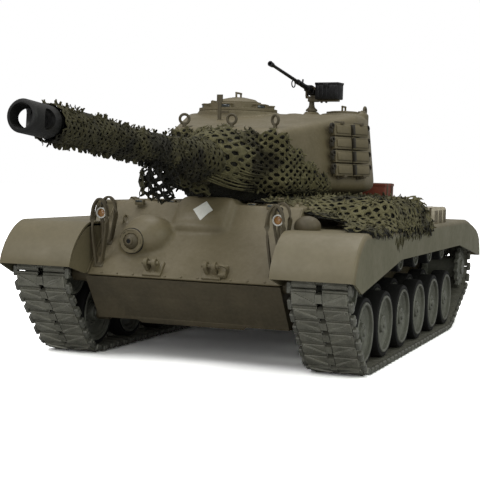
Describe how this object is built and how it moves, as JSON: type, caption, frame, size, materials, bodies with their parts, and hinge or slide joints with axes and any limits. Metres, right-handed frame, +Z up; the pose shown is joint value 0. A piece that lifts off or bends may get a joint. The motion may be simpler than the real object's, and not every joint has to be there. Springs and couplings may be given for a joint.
{
  "type": "rc tank",
  "caption": "Radio-controlled medium tank with long netted gun, rotating cast turret, roof machine gun, linked tracks over road wheels and curved fenders.",
  "frame": {"origin": "on the ground, on the mid-plane, halfway along the overall length from muzzle to rear fender tips", "axes": "-Y is the way the tank faces, +X is its left side, +Z is up"},
  "size_m": [0.219, 0.554, 0.192],
  "materials": {
    "olive_paint": "olive drab paint, satin, lightly weathered",
    "olive_dark_paint": "dark olive paint on metal, worn at the edges",
    "track_steel": "dark grey cast metal with worn bright ribs",
    "wheel_rubber": "dark rubber tyres on painted discs",
    "gunmetal": "black gunmetal",
    "net_cloth": "cut green and black net cloth",
    "gear_metal": "plain die-cast gear housings",
    "electronics": "plastic pack and board",
    "cargo_paint": "red-brown and pale painted boxes"
  },
  "bodies": {
    "hull": {"lower_hull": "olive_paint", "upper_hull": "olive_paint", "fender_left": "olive_paint", "fender_right": "olive_paint", "stowage_boxes": "olive_paint", "engine_deck": "olive_paint", "rear_fittings": "olive_dark_paint", "tow_clevises": "olive_dark_paint", "headlights": "olive_dark_paint", "headlight_guards": "olive_dark_paint", "track_left": "track_steel", "track_right": "track_steel", "suspension_arms": "olive_dark_paint", "gearboxes": "gear_metal", "battery_and_board": "electronics", "deck_cargo": "cargo_paint", "fender_net": "net_cloth", "screws": "olive_dark_paint"},
    "sprocket_left": {"sprocket_left": "olive_dark_paint"},
    "road_wheel_left_1": {"road_wheel_left_1": "wheel_rubber"},
    "road_wheel_left_2": {"road_wheel_left_2": "wheel_rubber"},
    "road_wheel_left_3": {"road_wheel_left_3": "wheel_rubber"},
    "road_wheel_left_4": {"road_wheel_left_4": "wheel_rubber"},
    "road_wheel_left_5": {"road_wheel_left_5": "wheel_rubber"},
    "road_wheel_left_6": {"road_wheel_left_6": "wheel_rubber"},
    "roller_left_1": {"roller_left_1": "olive_dark_paint"},
    "roller_left_2": {"roller_left_2": "olive_dark_paint"},
    "roller_left_3": {"roller_left_3": "olive_dark_paint"},
    "roller_left_4": {"roller_left_4": "olive_dark_paint"},
    "roller_left_5": {"roller_left_5": "olive_dark_paint"},
    "idler_left": {"idler_left": "wheel_rubber"},
    "sprocket_right": {"sprocket_right": "olive_dark_paint"},
    "road_wheel_right_1": {"road_wheel_right_1": "wheel_rubber"},
    "road_wheel_right_2": {"road_wheel_right_2": "wheel_rubber"},
    "road_wheel_right_3": {"road_wheel_right_3": "wheel_rubber"},
    "road_wheel_right_4": {"road_wheel_right_4": "wheel_rubber"},
    "road_wheel_right_5": {"road_wheel_right_5": "wheel_rubber"},
    "road_wheel_right_6": {"road_wheel_right_6": "wheel_rubber"},
    "roller_right_1": {"roller_right_1": "olive_dark_paint"},
    "roller_right_2": {"roller_right_2": "olive_dark_paint"},
    "roller_right_3": {"roller_right_3": "olive_dark_paint"},
    "roller_right_4": {"roller_right_4": "olive_dark_paint"},
    "roller_right_5": {"roller_right_5": "olive_dark_paint"},
    "idler_right": {"idler_right": "wheel_rubber"},
    "turret": {"turret_shell": "olive_paint", "cupola": "olive_paint", "spare_track_links": "olive_dark_paint", "turret_fittings": "olive_dark_paint", "turret_net": "net_cloth"},
    "gun": {"mantlet": "olive_paint", "gun_barrel": "gunmetal", "barrel_net": "net_cloth"},
    "cupola_hatch": {"cupola_hatch": "olive_paint"},
    "loader_hatch": {"loader_hatch": "olive_paint"},
    "driver_hatch_left": {"driver_hatch_left": "olive_paint"},
    "driver_hatch_right": {"driver_hatch_right": "olive_paint"},
    "aa_mount": {"aa_pintle": "olive_dark_paint"},
    "aa_gun": {"aa_gun": "gunmetal"},
    "bow_mg": {"bow_mg": "gunmetal"},
    "travel_lock": {"travel_lock": "olive_paint"}
  },
  "joints": [
    {"name": "sprocket_left_spin", "type": "hinge", "parent": "hull", "child": "sprocket_left", "pos_m": [0.0877, 0.2382, 0.045], "axis": [1, 0, 0], "continuous": true},
    {"name": "road_wheel_left_1_spin", "type": "hinge", "parent": "hull", "child": "road_wheel_left_1", "pos_m": [0.0877, -0.0591, 0.0253], "axis": [1, 0, 0], "continuous": true},
    {"name": "road_wheel_left_2_spin", "type": "hinge", "parent": "hull", "child": "road_wheel_left_2", "pos_m": [0.0877, -0.0113, 0.0253], "axis": [1, 0, 0], "continuous": true},
    {"name": "road_wheel_left_3_spin", "type": "hinge", "parent": "hull", "child": "road_wheel_left_3", "pos_m": [0.0877, 0.0365, 0.0253], "axis": [1, 0, 0], "continuous": true},
    {"name": "road_wheel_left_4_spin", "type": "hinge", "parent": "hull", "child": "road_wheel_left_4", "pos_m": [0.0877, 0.0843, 0.0253], "axis": [1, 0, 0], "continuous": true},
    {"name": "road_wheel_left_5_spin", "type": "hinge", "parent": "hull", "child": "road_wheel_left_5", "pos_m": [0.0877, 0.1321, 0.0253], "axis": [1, 0, 0], "continuous": true},
    {"name": "road_wheel_left_6_spin", "type": "hinge", "parent": "hull", "child": "road_wheel_left_6", "pos_m": [0.0877, 0.1799, 0.0253], "axis": [1, 0, 0], "continuous": true},
    {"name": "roller_left_1_spin", "type": "hinge", "parent": "hull", "child": "roller_left_1", "pos_m": [0.0877, -0.0113, 0.063], "axis": [1, 0, 0], "continuous": true},
    {"name": "roller_left_2_spin", "type": "hinge", "parent": "hull", "child": "roller_left_2", "pos_m": [0.0877, 0.0337, 0.063], "axis": [1, 0, 0], "continuous": true},
    {"name": "roller_left_3_spin", "type": "hinge", "parent": "hull", "child": "roller_left_3", "pos_m": [0.0877, 0.0787, 0.063], "axis": [1, 0, 0], "continuous": true},
    {"name": "roller_left_4_spin", "type": "hinge", "parent": "hull", "child": "roller_left_4", "pos_m": [0.0877, 0.1237, 0.063], "axis": [1, 0, 0], "continuous": true},
    {"name": "roller_left_5_spin", "type": "hinge", "parent": "hull", "child": "roller_left_5", "pos_m": [0.0877, 0.1687, 0.063], "axis": [1, 0, 0], "continuous": true},
    {"name": "idler_left_spin", "type": "hinge", "parent": "hull", "child": "idler_left", "pos_m": [0.0877, -0.0883, 0.053], "axis": [1, 0, 0], "continuous": true},
    {"name": "sprocket_right_spin", "type": "hinge", "parent": "hull", "child": "sprocket_right", "pos_m": [-0.0877, 0.2382, 0.045], "axis": [1, 0, 0], "continuous": true},
    {"name": "road_wheel_right_1_spin", "type": "hinge", "parent": "hull", "child": "road_wheel_right_1", "pos_m": [-0.0877, -0.0591, 0.0253], "axis": [1, 0, 0], "continuous": true},
    {"name": "road_wheel_right_2_spin", "type": "hinge", "parent": "hull", "child": "road_wheel_right_2", "pos_m": [-0.0877, -0.0113, 0.0253], "axis": [1, 0, 0], "continuous": true},
    {"name": "road_wheel_right_3_spin", "type": "hinge", "parent": "hull", "child": "road_wheel_right_3", "pos_m": [-0.0877, 0.0365, 0.0253], "axis": [1, 0, 0], "continuous": true},
    {"name": "road_wheel_right_4_spin", "type": "hinge", "parent": "hull", "child": "road_wheel_right_4", "pos_m": [-0.0877, 0.0843, 0.0253], "axis": [1, 0, 0], "continuous": true},
    {"name": "road_wheel_right_5_spin", "type": "hinge", "parent": "hull", "child": "road_wheel_right_5", "pos_m": [-0.0877, 0.1321, 0.0253], "axis": [1, 0, 0], "continuous": true},
    {"name": "road_wheel_right_6_spin", "type": "hinge", "parent": "hull", "child": "road_wheel_right_6", "pos_m": [-0.0877, 0.1799, 0.0253], "axis": [1, 0, 0], "continuous": true},
    {"name": "roller_right_1_spin", "type": "hinge", "parent": "hull", "child": "roller_right_1", "pos_m": [-0.0877, -0.0113, 0.063], "axis": [1, 0, 0], "continuous": true},
    {"name": "roller_right_2_spin", "type": "hinge", "parent": "hull", "child": "roller_right_2", "pos_m": [-0.0877, 0.0337, 0.063], "axis": [1, 0, 0], "continuous": true},
    {"name": "roller_right_3_spin", "type": "hinge", "parent": "hull", "child": "roller_right_3", "pos_m": [-0.0877, 0.0787, 0.063], "axis": [1, 0, 0], "continuous": true},
    {"name": "roller_right_4_spin", "type": "hinge", "parent": "hull", "child": "roller_right_4", "pos_m": [-0.0877, 0.1237, 0.063], "axis": [1, 0, 0], "continuous": true},
    {"name": "roller_right_5_spin", "type": "hinge", "parent": "hull", "child": "roller_right_5", "pos_m": [-0.0877, 0.1687, 0.063], "axis": [1, 0, 0], "continuous": true},
    {"name": "idler_right_spin", "type": "hinge", "parent": "hull", "child": "idler_right", "pos_m": [-0.0877, -0.0883, 0.053], "axis": [1, 0, 0], "continuous": true},
    {"name": "turret_traverse", "type": "hinge", "parent": "hull", "child": "turret", "pos_m": [0, 0.0537, 0.097], "axis": [0, 0, 1], "continuous": true},
    {"name": "gun_elevation", "type": "hinge", "parent": "turret", "child": "gun", "pos_m": [0, -0.0263, 0.1194], "axis": [-1, 0, 0], "range_deg": [-14.5, 15.5]},
    {"name": "cupola_hatch_hinge", "type": "hinge", "parent": "turret", "child": "cupola_hatch", "pos_m": [-0.0428, 0.0537, 0.1659], "axis": [0, -1, 0], "range_deg": [0, 100]},
    {"name": "loader_hatch_hinge", "type": "hinge", "parent": "turret", "child": "loader_hatch", "pos_m": [0.0509, 0.1077, 0.1626], "axis": [0, 1, 0], "range_deg": [0, 100]},
    {"name": "driver_hatch_left_hinge", "type": "hinge", "parent": "hull", "child": "driver_hatch_left", "pos_m": [0.0555, -0.0478, 0.0984], "axis": [0, 1, 0], "range_deg": [0, 100]},
    {"name": "driver_hatch_right_hinge", "type": "hinge", "parent": "hull", "child": "driver_hatch_right", "pos_m": [-0.0555, -0.0478, 0.0984], "axis": [0, -1, 0], "range_deg": [0, 100]},
    {"name": "aa_swivel", "type": "hinge", "parent": "turret", "child": "aa_mount", "pos_m": [0.017, 0.0917, 0.162], "axis": [0, 0, 1], "range_deg": [-20, 60]},
    {"name": "aa_elevation", "type": "hinge", "parent": "aa_mount", "child": "aa_gun", "pos_m": [0.017, 0.0917, 0.1765], "axis": [-0.989, 0.1478, 0], "range_deg": [-12, 14]},
    {"name": "bow_mg_swivel", "type": "hinge", "parent": "hull", "child": "bow_mg", "pos_m": [-0.0354, -0.0893, 0.074], "axis": [0, 0, 1], "range_deg": [-13, 13]},
    {"name": "travel_lock_hinge", "type": "hinge", "parent": "hull", "child": "travel_lock", "pos_m": [0, 0.2397, 0.1018], "axis": [-1, 0, 0], "range_deg": [0, 100]}
  ],
  "couplings": [
    {"joint": "road_wheel_left_1_spin", "follows": "sprocket_left_spin", "ratio": 0.8009},
    {"joint": "road_wheel_left_2_spin", "follows": "sprocket_left_spin", "ratio": 0.8009},
    {"joint": "road_wheel_left_3_spin", "follows": "sprocket_left_spin", "ratio": 0.8009},
    {"joint": "road_wheel_left_4_spin", "follows": "sprocket_left_spin", "ratio": 0.8009},
    {"joint": "road_wheel_left_5_spin", "follows": "sprocket_left_spin", "ratio": 0.8009},
    {"joint": "road_wheel_left_6_spin", "follows": "sprocket_left_spin", "ratio": 0.8009},
    {"joint": "roller_left_1_spin", "follows": "sprocket_left_spin", "ratio": 1.7879},
    {"joint": "roller_left_2_spin", "follows": "sprocket_left_spin", "ratio": 1.7879},
    {"joint": "roller_left_3_spin", "follows": "sprocket_left_spin", "ratio": 1.7879},
    {"joint": "roller_left_4_spin", "follows": "sprocket_left_spin", "ratio": 1.7879},
    {"joint": "roller_left_5_spin", "follows": "sprocket_left_spin", "ratio": 1.7879},
    {"joint": "idler_left_spin", "follows": "sprocket_left_spin", "ratio": 1.0231},
    {"joint": "road_wheel_right_1_spin", "follows": "sprocket_right_spin", "ratio": 0.8009},
    {"joint": "road_wheel_right_2_spin", "follows": "sprocket_right_spin", "ratio": 0.8009},
    {"joint": "road_wheel_right_3_spin", "follows": "sprocket_right_spin", "ratio": 0.8009},
    {"joint": "road_wheel_right_4_spin", "follows": "sprocket_right_spin", "ratio": 0.8009},
    {"joint": "road_wheel_right_5_spin", "follows": "sprocket_right_spin", "ratio": 0.8009},
    {"joint": "road_wheel_right_6_spin", "follows": "sprocket_right_spin", "ratio": 0.8009},
    {"joint": "roller_right_1_spin", "follows": "sprocket_right_spin", "ratio": 1.7879},
    {"joint": "roller_right_2_spin", "follows": "sprocket_right_spin", "ratio": 1.7879},
    {"joint": "roller_right_3_spin", "follows": "sprocket_right_spin", "ratio": 1.7879},
    {"joint": "roller_right_4_spin", "follows": "sprocket_right_spin", "ratio": 1.7879},
    {"joint": "roller_right_5_spin", "follows": "sprocket_right_spin", "ratio": 1.7879},
    {"joint": "idler_right_spin", "follows": "sprocket_right_spin", "ratio": 1.0231}
  ]
}
